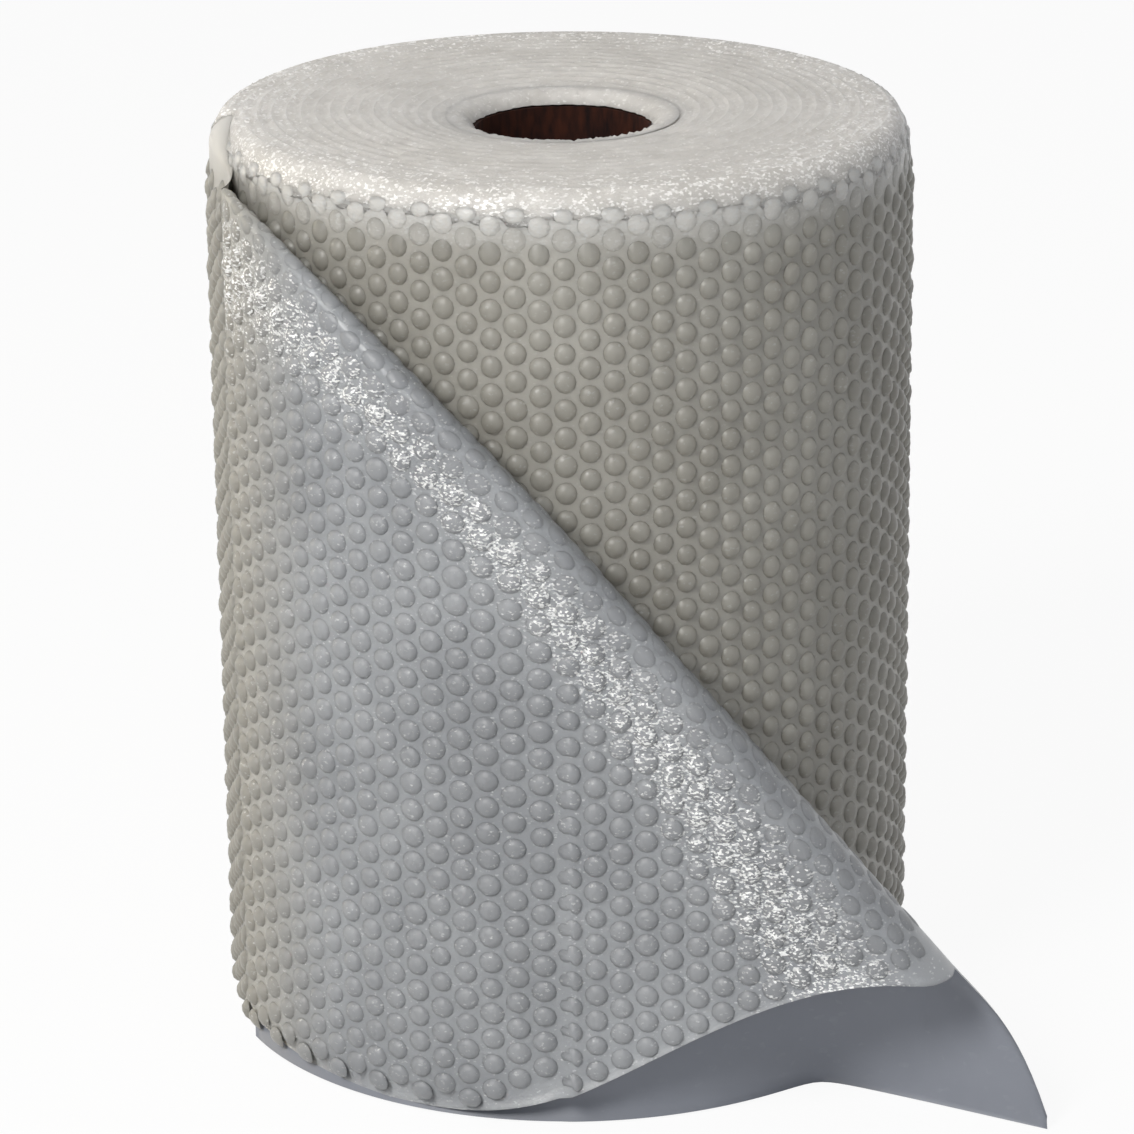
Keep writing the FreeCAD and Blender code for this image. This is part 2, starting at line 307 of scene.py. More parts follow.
def boardFinish(name, look):
    # kraft board, its fibres drawn out along the tube; its colours are kraft brown darkened far below the
    # board's own, as painted shade of the deep tube
    material, tree, shader = newMaterial(name)
    place = tree.nodes.new("ShaderNodeTexCoord")
    stretch = tree.nodes.new("ShaderNodeMapping")
    stretch.inputs["Scale"].default_value = (1.0, 1.0, look["stretch"])
    tree.links.new(place.outputs["Object"], stretch.inputs["Vector"])
    fibre = tree.nodes.new("ShaderNodeTexNoise")
    fibre.inputs["Scale"].default_value = look["fibreScale"]
    fibre.inputs["Detail"].default_value = look["detail"]
    tree.links.new(stretch.outputs["Vector"], fibre.inputs["Vector"])
    tree.links.new(addRamp(tree, fibre.outputs["Fac"], look["span"], look), shader.inputs["Base Color"])
    shader.inputs["Roughness"].default_value = look["rough"]
    shader.inputs["Specular IOR Level"].default_value = look["shine"]
    tree.links.new(addBump(tree, fibre.outputs["Fac"], look), shader.inputs["Normal"])
    return material


crinkles = makeCrinkles()
# the flat film is painted lighter than its bubbles: painted light that offsets the shade falling between
# the bubbles
rollFilm = filmFinish("roll_film", {
    "edge": (0.68, 0.66, 0.62),
    "dark": (0.385, 0.366, 0.322), "light": (0.490, 0.470, 0.420), "paintedGlint": (0.72, 0.72, 0.69),
    "paintedGlintShare": 0.5, "creaseScale": 700.0, "cloudScale": 12.0, "roughLow": 0.30, "roughHigh": 0.45,
    "bump": 0.4, "bumpDepth": 0.0003, "coat": 0.5, "coatRough": 0.10, "milky": 0.9, "milkyDepth": 0.010})
rollBubbles = filmFinish("roll_bubbles", {
    "edge": (0.68, 0.66, 0.62),
    "dark": (0.280, 0.266, 0.232), "light": (0.350, 0.336, 0.299), "paintedGlint": (0.70, 0.70, 0.68),
    "paintedGlintShare": 0.5, "creaseScale": 700.0, "cloudScale": 12.0, "roughLow": 0.34, "roughHigh": 0.5,
    "bump": 0.4, "bumpDepth": 0.0003, "coat": 0.5, "coatRough": 0.10, "milky": 1.0, "milkyDepth": 0.014})
# here too the flat film is painted lighter than its bubbles, painted light against the shade between them
looseFilm = filmFinish("loose_film", {
    "edge": (0.435, 0.417, 0.370),
    "dark": (0.285, 0.296, 0.311), "light": (0.362, 0.374, 0.388), "paintedGlint": (0.97, 0.97, 0.96),
    "paintedGlintShare": 0.95, "creaseScale": 820.0, "cloudScale": 16.0, "roughLow": 0.25, "roughHigh": 0.4,
    "bump": 0.8, "bumpDepth": 0.0004, "coat": 1.0, "coatRough": 0.12, "milky": 0.7, "milkyDepth": 0.005})
looseBubbles = filmFinish("loose_bubbles", {
    "edge": (0.315, 0.301, 0.266),
    "dark": (0.254, 0.262, 0.274), "light": (0.320, 0.329, 0.342), "paintedGlint": (0.97, 0.97, 0.96),
    "paintedGlintShare": 0.95, "creaseScale": 820.0, "cloudScale": 16.0, "roughLow": 0.36, "roughHigh": 0.5,
    "bump": 0.8, "bumpDepth": 0.0004, "coat": 1.0, "coatRough": 0.12, "milky": 0.8, "milkyDepth": 0.008})
# the sheet's inner face is the same film, painted darker: painted shade of the inside of the fold
insideFilmPaintedShade = filmFinish("loose_inside_painted_shade", {
    "edge": (0.225, 0.238, 0.272),
    "dark": (0.200, 0.213, 0.247), "light": (0.240, 0.255, 0.294), "paintedGlint": (0.32, 0.34, 0.38),
    "paintedGlintShare": 0.5, "creaseScale": 260.0, "cloudScale": 9.0, "roughLow": 0.42, "roughHigh": 0.55,
    "bump": 0.3, "bumpDepth": 0.0004, "coat": 0.05, "coatRough": 0.3, "milky": 0.0, "milkyDepth": 0.005})
endFilm = filmFinish("end_film", {
    "dark": (0.55, 0.525, 0.49), "light": (0.64, 0.615, 0.58), "paintedGlint": (0.97, 0.95, 0.92),
    "paintedGlintShare": 0.95, "creaseScale": 760.0, "cloudScale": 60.0, "roughLow": 0.3, "roughHigh": 0.5,
    "bump": 0.6, "bumpDepth": 0.0005, "coat": 0.8, "coatRough": 0.12, "milky": 1.0, "milkyDepth": 0.012})
# kraft brown darkened about fivefold: painted shade inside the deep tube
kraftBoardPaintedShade = boardFinish("kraft_board_painted_shade", {
    "dark": (0.008, 0.003, 0.003), "light": (0.050, 0.014, 0.007), "span": (0.3, 0.72),
    "fibreScale": 260.0, "detail": 6.0, "stretch": 0.3, "rough": 0.85, "shine": 0.2,
    "bump": 0.35, "bumpDepth": 0.0006})


# Sizes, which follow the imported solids

roll = {
    "radius": 0.1562,
    "tubeRadius": 0.0439,
    "boreRadius": 0.038,
    "turns": 17,
    "sheet": 0.0054,
    "topRound": 0.0145,
    "footRound": 0.0115,
    "dishDepth": 0.0050,
    "dishRadius": 0.085,
    "bubbleColumns": 92,
    "bubbleMargin": 0.004,
    "bubbleTop": 0.003,
    "slack": 0.0003,      # between the bubbles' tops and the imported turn
    "rimWrap": 1.5,       # radians that the film follows the rounded rims
    "frost": 0.026,       # height of the frosty rim
    "frostFade": 0.013,
    "flat": 0.032,        # bubbles are pressed flat this near the top
    "flatFade": 0.014,
    "flatShare": 0.75,
    "rimCrinkle": 0.9,
    "columns": 300,
    "levels": (12, 42, 14),    # rows of the film on the lower rim, the wall and the upper rim
    "seed": 11,
}
bubble = {
    "spacing": 0.0120,    # along a column, which runs parallel to the tube
    "radius": 0.0050,
    "height": 0.0026,
    "rings": ((1.0, 0.0), (0.86, 0.42), (0.52, 0.85)),    # shares of the radius and the height
    "sides": 12,
    "sizeSpread": 0.03,
    "riseSpread": 0.09,
    "leanSpread": 0.10,
    "lowest": 0.6,        # times the height, like the next
    "highest": 1.1,
    "tilt": (0.5, 1.2),
    "sunk": 0.0001,       # into the film
    "widest": 1.7,        # times the radius: a wider one is cut by an edge of the sheet
}
loose = {
    "layerGap": 0.0010,
    "foldStart": math.radians(-155.0),
    "foldTop": 0.396,
    "foldFront": 0.274,
    "foldLow": 0.082,
    "startSlope": 0.1,       # the crease's fall where the fold starts
    "tipSlope": 3.5,         # and at the tip
    "crestSlack": 0.0004,
    "bendFront": 0.0125,
    "bendFull": 0.023,
    "tipReach": 0.206,
    "tipFlap": 0.054,
    "tipTurn": 0.046,
    "tipFront": 0.169,
    "tipOpen": 130.0,        # degrees of the fold that end before the tip
    "leastFront": 0.004,     # least heights of the layers, which come to nothing at the tip
    "leastBack": 0.002,
    "flare": 0.25,           # how far the front layer stands off where the sheet leaves the roll
    "rimStart": 0.003,
    "rimEnd": 0.077,
    "rimLead": 0.35,         # part of the rise that lies round the roll
    "rimSpan": 1.25,
    "floorBend": 0.107,
    "floorBendRound": 0.012,
    "floorGap": 0.0006,
    "footTuck": 0.0065,      # how far the foot of the front layer turns in
    "tuckTop": 0.014,
    "tuckFade": 0.012,
    "film": 0.0005,
    "filmDepth": -0.0017,    # the flat film, from the middle of the sheet's thickness
    "warmEdge": 0.075,       # stretch on which the roll's warmer colour fades into the fold's
    "cutEnd": 0.24,          # where the flat sheet was cut, past the front of the roll
    "noFront": -89.9,        # a fold that starts past this turn has no front layer
    "pressedTop": 0.022,     # bubbles are pressed flat this near the fold
    "pressedFoot": 0.020,    # and this near the foot
    "pressedFrom": 0.002,
    "pressedLeast": 0.3,
    "steps": (34, 40, 30),   # sections round the roll, past it and at the tip
    "lastShare": 0.985,      # the last section stands just short of the tip
    "rows": {"front": 24, "fold": 18, "back": 18},
    "seed": 5,
}
pitch = (roll["radius"] - roll["sheet"] - roll["tubeRadius"]) / roll["turns"]
columnSpacing = 2 * math.pi * roll["radius"] / roll["bubbleColumns"]
tightBend = (roll["sheet"] + loose["layerGap"]) / 2
wrapEdge = loose["tipReach"] - loose["tipFlap"]
straightEnd = loose["tipReach"] - loose["tipTurn"]
foldSlope = (loose["foldFront"] - loose["foldLow"]) / straightEnd
hugLength = (-math.pi / 2 - loose["foldStart"]) * roll["radius"]
liftLength = (loose["foldStart"] + math.pi) * roll["radius"]


# Meshes

def smoothShare(share):
    held = np.clip(share, 0.0, 1.0)
    return held * held * (3 - 2 * held)


def wrapPiece(name, points, faces, material, crinkle, edge=0.0):
    mesh = bpy.data.meshes.new(name)
    mesh.from_pydata(np.asarray(points).reshape(-1, 3).tolist(), [], faces)
    mesh.polygons.foreach_set("use_smooth", [True] * len(mesh.polygons))
    mesh.materials.append(material)
    for title, values in (("crinkle", crinkle), ("edge", edge)):
        attribute = mesh.attributes.new(title, "FLOAT", "POINT")
        spread = np.broadcast_to(np.asarray(values, dtype=np.float32).ravel(), len(mesh.vertices))
        attribute.data.foreach_set("value", np.ascontiguousarray(spread))
    mesh.update()
    piece = addObject(name, mesh)
    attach(piece, "root")
    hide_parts("bubble_wrap")
    return piece


def gridFaces(rows, columns, start=0, flipped=False):
    corner = (np.arange(rows - 1)[:, None] * columns + np.arange(columns - 1)).ravel() + start
    faces = np.stack([corner, corner + 1, corner + 1 + columns, corner + columns], axis=1)
    return (faces[:, ::-1] if flipped else faces).tolist()


def bubbleCap():
    sides = bubble["sides"]
    turn = 2 * np.pi * np.arange(sides) / sides
    rings = [np.stack([share * np.cos(turn), share * np.sin(turn), np.full(sides, rise)], axis=1)
             for share, rise in bubble["rings"]]
    points = np.concatenate(rings + [[[0.0, 0.0, 1.0]]])
    faces = []
    for ring in range(len(rings) - 1):
        for side in range(sides):
            here, after = ring * sides + side, ring * sides + (side + 1) % sides
            faces.append((here, after, after + sides, here + sides))
    last = (len(rings) - 1) * sides
    faces += [(last + side, last + (side + 1) % sides, len(points) - 1) for side in range(sides)]
    return points, faces


def lattice(low, high, bottom, top):
    # bubbles in columns parallel to the tube, every other column half a bubble higher
    places = []
    spacing = bubble["spacing"]
    for column in range(math.ceil(low / columnSpacing), math.floor(high / columnSpacing) + 1):
        shift = 0.5 * (column % 2)
        for row in range(math.floor(bottom / spacing) - 1, math.ceil(top / spacing) + 1):
            up = (row + shift) * spacing
            if bottom <= up <= top:
                places.append((column * columnSpacing, up))
    return np.array(places)


def bubblePiece(name, places, surface, material, seed, crinkle=0.0, edge=0.0):
    # surface(along, up, rise) gives points in space. Bubbles differ a little in size
    # and lean, and more so where the film is crinkled.
    cap, capFaces = bubbleCap()
    chance = np.random.default_rng(seed)
    count = len(places)
    crumple = np.zeros(count) + crinkle
    size = bubble["radius"] * (1 + bubble["sizeSpread"] * chance.standard_normal((count, 1)))
    rise = 1 + bubble["riseSpread"] * (1 + crumple[:, None]) * chance.standard_normal((count, 1))
    rise = bubble["height"] * np.clip(rise, bubble["lowest"], bubble["highest"])
    lean = bubble["leanSpread"] * (1 + 2 * crumple[:, None, None]) * chance.standard_normal((count, 2, 1))
    along = places[:, :1] + size * cap[:, 0]
    up = places[:, 1:] + size * cap[:, 1]
    tilt = np.clip(1 + lean[:, 0] * cap[:, 0] + lean[:, 1] * cap[:, 1], *bubble["tilt"])
    height = np.minimum(rise * cap[:, 2] * tilt, bubble["highest"] * bubble["height"])
    points = surface(along.ravel(), up.ravel(), height.ravel() - bubble["sunk"])
    points = points.reshape(count, len(cap), 3)
    width = np.linalg.norm(points - points[:, -1:], axis=2).max(axis=1)
    whole = width < bubble["widest"] * bubble["radius"]    # leaves out those cut by an edge of the sheet
    points, crumple = points[whole], crumple[whole]
    neighbour = (np.zeros(count) + edge)[whole]
    faces = [[index + number * len(cap) for index in face]
             for number in range(len(points)) for face in capFaces]
    return wrapPiece(name, points, faces, material, np.repeat(crumple, len(cap)),
                     np.repeat(neighbour, len(cap)))


def frostAt(height):
    # the rounded upper rim has the frosty look of the ends of the turns
    return np.clip((height - rollHeight + roll["frost"]) / roll["frostFade"], 0, 1)


# The wound roll's outermost turn

def rollRadius(angle):
    return roll["radius"] - pitch + pitch * (angle + math.pi) / (2 * math.pi)


def rollSurface(along, up, rise):
    # the film follows the rounded rims for a while, under the ends of the turns
    angle = along / roll["radius"] - math.pi
    base = rollRadius(angle) - bubble["height"] - roll["slack"]
    straightTop = rollHeight - roll["topRound"]
    topRound = roll["topRound"] - bubble["height"]
    footRound = roll["footRound"] - bubble["height"]
    pressed = smoothShare((up - rollHeight + roll["flat"]) / roll["flatFade"])
    rise = rise * (1 - roll["flatShare"] * pressed)
    overTop = np.clip((up - straightTop) / roll["topRound"], 0, roll["rimWrap"])
    underFoot = np.clip((roll["footRound"] - up) / roll["footRound"], 0, roll["rimWrap"])
    drawnIn = np.where(overTop > 0, topRound * (1 - np.cos(overTop)), footRound * (1 - np.cos(underFoot)))
    radius = base - drawnIn + rise * np.cos(np.maximum(overTop, underFoot))
    height = np.where(overTop > 0, straightTop + (topRound + rise) * np.sin(overTop), up)
    height = np.where(underFoot > 0, roll["footRound"] - (footRound + rise) * np.sin(underFoot), height)
    return np.stack([radius * np.cos(angle), radius * np.sin(angle), height], axis=-1)


def outerLevels():
    # heights of the film's rows, closer together round the rims and half a rounding past them
    footRows, wallRows, topRows = roll["levels"]
    foot, top = roll["footRound"], rollHeight - roll["topRound"]
    return np.concatenate([
        np.linspace(-0.5 * foot, foot, footRows)[:-1],
        np.linspace(foot, top, wallRows)[:-1],
        np.linspace(top, rollHeight + 0.5 * roll["topRound"], topRows),
    ])


def makeOuterTurn():
    around = 2 * math.pi * roll["radius"]
    columns = roll["columns"]
    along = np.linspace(0, around, columns)
    up = outerLevels()
    grid = np.meshgrid(along, up)
    points = rollSurface(grid[0], grid[1], np.zeros(grid[0].shape))
    points = np.concatenate([points, points[:, :1]], axis=1)    # the step where the turn starts
    frost = frostAt(points[..., 2])
    film = wrapPiece("outer_turn_film", points, gridFaces(len(up), columns + 1), rollFilm,
                     roll["rimCrinkle"] * frost, frost)
    for row in range(len(up) - 1):
        film.data.polygons[row * columns + columns - 1].use_smooth = False
    margin = roll["bubbleMargin"]
    places = lattice(margin, around - margin, margin, rollHeight - roll["bubbleTop"])
    frost = frostAt(places[:, 1])
    bubblePiece("outer_turn_bubbles", places, rollSurface, rollBubbles, roll["seed"],
                roll["rimCrinkle"] * frost, frost)


# The two ends: the cut edges of every turn, with the bubbles that the cut opened

ends = {
    "footGap": 0.0003,
    "dishCurve": 1.6,
    "wallAt": 0.52,           # where a bubble's wall stands in its turn, and how far it swings
    "wallSwing": 0.40,
    "wallWidth": 0.16,
    "drift": 0.8,             # rows of bubbles drift against each other from turn to turn
    "driftRate": 23.0,        # per metre
    "filmAt": 0.06,
    "filmWidth": 0.10,
    "joinWidth": 0.06,
    "meeting": 0.4,           # how soon the depth fades where two turns meet
    "inset": 0.002,           # behind the outermost turn
    "fray": (0.0004, 0.0012),
    "rimBand": 0.0085,        # where the cut edges come down onto the outermost film
    "rimFade": 0.0045,
    "onFilm": 0.0002,
    "crinkleFrom": 0.105,
    "crinkleFade": 0.035,
}


def endHeight(radius, atTop, outer):
    depth = roll["topRound"] if atTop else roll["footRound"]
    edge = np.clip((radius - (outer - depth)) / depth, 0, 0.9999)    # never quite upright
    rounding = depth * (1 - np.sqrt(1 - edge ** 2))
    if not atTop:
        return rounding + ends["footGap"]
    inward = (roll["dishRadius"] - radius) / (roll["dishRadius"] - roll["tubeRadius"])
    return rollHeight - rounding - roll["dishDepth"] * np.clip(inward, 0, 1) ** ends["dishCurve"]


def makeEnd(name, atTop, look):
    chance = np.random.default_rng(look["seed"])
    total = roll["turns"] * 2 * math.pi
    angles = [0.0]
    while angles[-1] < total:
        angles.append(angles[-1] + look["step"] / (roll["tubeRadius"] + pitch * angles[-1] / (2 * math.pi)))
    angle = np.array(angles)
    share = np.linspace(0.0, 1.0, look["across"])
    length = roll["tubeRadius"] * angle + pitch * angle ** 2 / (4 * math.pi)
    drift = ends["drift"] * np.sin(length * ends["driftRate"])
    beat = np.cos(2 * math.pi * length / bubble["spacing"] + drift)
    spread, reach = np.meshgrid(share, ends["wallAt"] + ends["wallSwing"] * beat)
    # the flat film stands at the turn's inner side, the opened bubble's wall further out
    wall = np.exp(-((spread - reach) / ends["wallWidth"]) ** 2)
    flat = np.exp(-((spread - ends["filmAt"]) / ends["filmWidth"]) ** 2)
    flat = flat + np.exp(-((spread - 1.0) / ends["joinWidth"]) ** 2)
    relief = np.clip(np.maximum(wall, flat), 0, 1)
    rough = chance.standard_normal(relief.shape)
    rough = (rough + np.roll(rough, 1, 0) + np.roll(rough, -1, 0) + np.roll(rough, 1, 1)) / 2
    depth = look["depth"] * (1 - relief) + look["ragged"] * np.abs(rough)
    depth = depth * np.sin(np.pi * spread) ** ends["meeting"]    # turns meet at one height
    radius = roll["tubeRadius"] + pitch * angle[:, None] / (2 * math.pi) + pitch * spread
    coarse = length[::4]
    frayed = np.interp(length, coarse, ends["fray"][0] + ends["fray"][1] * chance.random(len(coarse)))
    outer = (roll["radius"] - pitch * (1 - (angle / (2 * math.pi)) % 1))[:, None]
    radius = np.minimum(radius, outer - ends["inset"] - frayed[:, None])
    rim = endHeight(radius, atTop, outer)
    height = rim - depth if atTop else rim + depth
    if atTop:
        # at the rim the cut edges come down onto the outermost film
        filmRound = roll["topRound"] - bubble["height"]
        inwards = np.clip((outer - bubble["height"] - roll["slack"] - radius) / filmRound, 0, 1)
        film = rollHeight - roll["topRound"] + filmRound * np.sin(np.arccos(1 - inwards))
        landing = smoothShare((radius - outer + ends["rimBand"]) / ends["rimFade"])
        height = height + (film + ends["onFilm"] - height) * landing
    turned = angle[:, None] + math.pi + 0 * spread
    points = np.stack([radius * np.cos(turned), radius * np.sin(turned), height], axis=-1)
    outwards = np.clip((radius - ends["crinkleFrom"]) / ends["crinkleFade"], 0, 1)
    crinkle = look["crinkle"] + look["rimCrinkle"] * outwards
    wrapPiece(name, points, gridFaces(len(angle), len(share), flipped=atTop), look["finish"], crinkle)


lip = {
    "around": 220,
    "across": 9,
    "seed": 21,
    "overBore": 0.0007,
    "ragged": 0.0007,
    "waves": ((7, 0.3, 0.5), (13, 1.1, 0.4), (29, 2.0, 0.4), (53, 0.7, 0.35)),    # count, phase, size
    "waveLimits": (-0.9, 1.6),
    "turnsOut": 1.1,
    "overTube": 0.0008,
    "underEnds": 0.0008,
    "curve": 3.2,
    "bumps": 0.0004,
    "crinkle": 0.15,
}


def makeInnerLip():
    # crumpled edges of the first turn, pressed in over the end of the tube
    chance = np.random.default_rng(lip["seed"])
    turn = 2 * np.pi * np.arange(lip["around"] + 1) / lip["around"]
    waves = sum(np.sin(turn * count + phase) * size for count, phase, size in lip["waves"])
    inner = roll["boreRadius"] + lip["overBore"] + lip["ragged"] * np.clip(waves, *lip["waveLimits"])
    outer = roll["tubeRadius"] + lip["turnsOut"] * pitch
    share = np.linspace(0, 1, lip["across"])
    radius = inner[:, None] + (outer - inner[:, None]) * share
    top = float(endHeight(np.array(outer), True, roll["radius"])) - lip["underEnds"]
    bumps = lip["bumps"] * chance.standard_normal((lip["around"], lip["across"]))
    bumps = np.concatenate([bumps, bumps[:1]]) * np.sin(np.pi * share)
    height = tubeTop + lip["overTube"] + (top - tubeTop) * (1 - (1 - share) ** lip["curve"]) + bumps
    points = np.stack([radius * np.cos(turn[:, None]), radius * np.sin(turn[:, None]), height], axis=-1)
    faces = gridFaces(len(turn), len(share), flipped=True)
    wrapPiece("inner_lip", points, faces, endFilm, lip["crinkle"])


# The loose end

def hermite(share, first, last, firstSlope, lastSlope):
    square, cube = share * share, share * share * share
    return ((2 * cube - 3 * square + 1) * first + (cube - 2 * square + share) * firstSlope
            + (3 * square - 2 * cube) * last + (cube - square) * lastSlope)


def layerRadius(angle):
    return rollRadius(angle) + loose["layerGap"] + roll["sheet"] / 2


def section(along):
    # the hairpin at a place along the sheet, measured from the front of the roll and
    # negative where the sheet still hugs it
    along = np.asarray(along, dtype=float)
    hugs = along < 0
    share = np.clip(1 + along / hugLength, 0, 1)
    angle = loose["foldStart"] + (-math.pi / 2 - loose["foldStart"]) * share
    reach = np.clip(along, 0, loose["tipReach"])
    last = loose["tipTurn"]
    crestHug = hermite(share, loose["foldTop"], loose["foldFront"],
                       -loose["startSlope"] * hugLength, -foldSlope * hugLength)
    crestTip = hermite(np.clip((reach - straightEnd) / last, 0, 1),
                       loose["foldLow"], 0.0, -foldSlope * last, -loose["tipSlope"] * last)
    crestStraight = np.where(reach <= straightEnd, loose["foldFront"] - foldSlope * reach, crestTip)
    crest = np.where(hugs, crestHug, crestStraight)

    past = np.clip((reach - wrapEdge) / loose["tipFlap"], 0, 1)
    widening = loose["bendFull"] - loose["bendFront"]
    bendHug = tightBend + (loose["bendFront"] - tightBend) * share
    bendStraight = loose["bendFront"] + widening * smoothShare(reach / wrapEdge)
    bendTip = loose["bendFull"] + (tightBend - loose["bendFull"]) * past
    bend = np.where(hugs, bendHug, np.where(past > 0, bendTip, bendStraight))

    frontBack = layerRadius(-math.pi / 2)
    lineStart = frontBack + loose["bendFront"]
    middle = lineStart + (loose["tipFront"] - lineStart) * reach / loose["tipReach"]
    back = np.where(hugs, layerRadius(angle), middle - bend)
    rising = smoothShare((reach / wrapEdge + 1) / 2)
    flare = loose["flare"]
    spread = np.where(hugs, 2 * flare * (bend - tightBend),
                      2 * (bend - tightBend) * (flare + (1 - flare) * rising ** 2))
    front = back + 2 * tightBend + spread
    lead = loose["rimLead"]
    rimShare = np.where(hugs, share - (1 - lead), lead + reach / wrapEdge) / loose["rimSpan"]
    low = loose["rimStart"] + (loose["rimEnd"] - loose["rimStart"]) * smoothShare(rimShare)
    centre = crest - (roll["sheet"] - loose["crestSlack"]) / 2 - bend
    hemTurn = -np.degrees(np.arccos(np.clip((low - centre) / bend, 0, 1)))
    startTurn = np.maximum(hemTurn, np.where(past > 0, -90.0 + loose["tipOpen"] * past ** 0.5, -90.0))

    onRoll = np.sqrt(np.maximum(frontBack ** 2 - reach ** 2, 0))
    leave = math.sqrt(frontBack ** 2 - loose["floorBend"] ** 2)
    slope = (loose["tipFront"] - leave) / (loose["tipReach"] - loose["floorBend"])
    onFloor = leave + slope * (reach - loose["floorBend"])
    foot = (onRoll + onFloor + np.hypot(onRoll - onFloor, loose["floorBendRound"])) / 2
    return {
        "baseX": np.where(hugs, 0.0, reach),
        "outX": np.where(hugs, np.cos(angle), 0.0),
        "outY": np.where(hugs, np.sin(angle), -1.0),
        "crest": crest, "centre": centre, "bend": bend, "back": back, "front": front,
        "foot": np.where(hugs, back, foot), "low": low, "startTurn": startTurn,
    }


def tuckAt(height):
    # how far the foot of the film is drawn in
    return loose["footTuck"] * np.clip((loose["tuckTop"] - height) / loose["tuckFade"], 0, 1) ** 2


def onSheet(parts, layer, height, rise):
    # layer 0 is the front, 1 the fold, where height is the turn in degrees, 2 the folded layer
    up = np.where(layer == 1, 0.0, height)
    bow = np.radians(np.where(layer == 1, height, 0.0))
    frontTall = np.maximum(parts["centre"] - parts["low"], loose["leastFront"])
    backTall = np.maximum(parts["centre"] - loose["floorGap"], loose["leastBack"])
    climb = np.clip((up - parts["low"]) / frontTall, 0, 1)
    frontTop = parts["back"] + 2 * parts["bend"]
    frontOut = parts["front"] + (frontTop - parts["front"]) * climb + rise - tuckAt(up)
    radius = parts["bend"] + rise
    foldOut = parts["back"] + parts["bend"] - radius * np.sin(bow)
    foldUp = parts["centre"] + radius * np.cos(bow)
    fall = np.clip((parts["centre"] - up) / backTall, 0, 1)
    backOut = parts["back"] + (parts["foot"] - parts["back"]) * fall - rise
    out = np.where(layer == 0, frontOut, np.where(layer == 1, foldOut, backOut))
    z = np.where(layer == 1, foldUp, up)
    return np.stack([parts["baseX"] + parts["outX"] * out, parts["outY"] * out, z], axis=-1)


def creaseSlope(along):
    step = 0.002
    fall = (section(along - step)["crest"] - section(along + step)["crest"]) / (2 * step)
    cosine = 1 / np.sqrt(1 + fall ** 2)
    return cosine, fall * cosine


creaseBand = {
    "middle": 0.36,        # where the band is narrow, as a share of the crease
    "narrow": 0.010,
    "atStart": 0.022,      # how much wider it gets towards the fold's start
    "atTip": 0.010,        # and towards the tip
    "widest": 0.024,
    "lowerBy": 0.9,        # the band's middle lies this many widths under the crease
    "under": 0.006,        # and this much more
    "elsewhere": -0.02,    # the fold and the folded layer lie beyond the band
}


def belowCrease(parts, layer, height, along):
    # distance under the crease, measured on the front layer
    under = (parts["centre"] - height) * creaseSlope(along)[0]
    return np.where(layer == 0, under, creaseBand["elsewhere"])


def crinkleAt(along, below):
    # how crumpled the film is, which also sets where the painted glints gather: a band that is wide
    # at the top left, narrow in the middle and wide again towards the tip
    narrow = creaseBand["narrow"]
    share = np.clip((along + hugLength) / (hugLength + wrapEdge), 0, 1)
    share = (share - creaseBand["middle"]) / creaseBand["middle"]
    tipWidth = np.minimum(narrow + creaseBand["atTip"] * share ** 2, creaseBand["widest"])
    width = np.where(share < 0, narrow + creaseBand["atStart"] * share ** 2, tipWidth)
    return np.exp(-((below - creaseBand["lowerBy"] * width - creaseBand["under"]) / width) ** 2)


def warmAt(along):
    # 1 where the fold starts, with the roll's warmer colour, and 0 further on
    return 1 - smoothShare((along + hugLength) / loose["warmEdge"])


def makeLooseFilm():
    hugSteps, straightSteps, tipSteps = loose["steps"]
    lastAlong = loose["tipReach"] * loose["lastShare"]
    alongs = np.concatenate([
        np.linspace(-hugLength, 0, hugSteps)[:-1], np.linspace(0, wrapEdge, straightSteps)[:-1],
        wrapEdge + (lastAlong - wrapEdge) * np.linspace(0, 1, tipSteps) ** 2])
    rows = loose["rows"]
    outside, inside, crinkle = [], [], []
    for along in alongs:
        parts = section(along)
        turnStart = float(parts["startTurn"])
        centre = float(parts["centre"])
        if turnStart > loose["noFront"]:
            layer = [1] * (rows["front"] - 1)
            height = [turnStart] * (rows["front"] - 1)
        else:
            layer = [0] * (rows["front"] - 1)
            height = list(np.linspace(parts["low"], centre, rows["front"])[:-1])
        layer += [1] * rows["fold"] + [2] * (rows["back"] - 1)
        height += list(np.linspace(turnStart, 90.0, rows["fold"]))
        height += list(np.linspace(centre, loose["floorGap"], rows["back"])[1:])
        layer, height = np.array(layer), np.array(height)
        for side, rise in ((outside, loose["film"] / 2), (inside, -loose["film"] / 2)):
            side.append(onSheet(parts, layer, height, loose["filmDepth"] + rise))
        crinkle.append(crinkleAt(along, belowCrease(parts, layer, height, along)))
    lines, columns = len(alongs), len(crinkle[0])
    half = lines * columns
    faces = gridFaces(lines, columns, flipped=True) + gridFaces(lines, columns, half)
    rim = ([row * columns for row in range(lines)]
           + [(lines - 1) * columns + column for column in range(1, columns)]
           + [row * columns + columns - 1 for row in range(lines - 2, -1, -1)]
           + [column for column in range(columns - 2, 0, -1)])
    for first, after in zip(rim, rim[1:] + rim[:1]):
        faces.append((first, after, after + half, first + half))
    points = np.array(outside + inside)
    edge = np.tile(np.repeat(warmAt(alongs), columns), 2)
    crinkle = np.tile(np.array(crinkle).ravel(), 2)
    piece = wrapPiece("loose_end_film", points, faces, looseFilm, crinkle, edge)
    # the inner faces take the darker finish, painted shade
    piece.data.materials.append(insideFilmPaintedShade)
    outsideFaces = (lines - 1) * (columns - 1)
    for polygon in piece.data.polygons[outsideFaces:]:
        polygon.material_index = 1


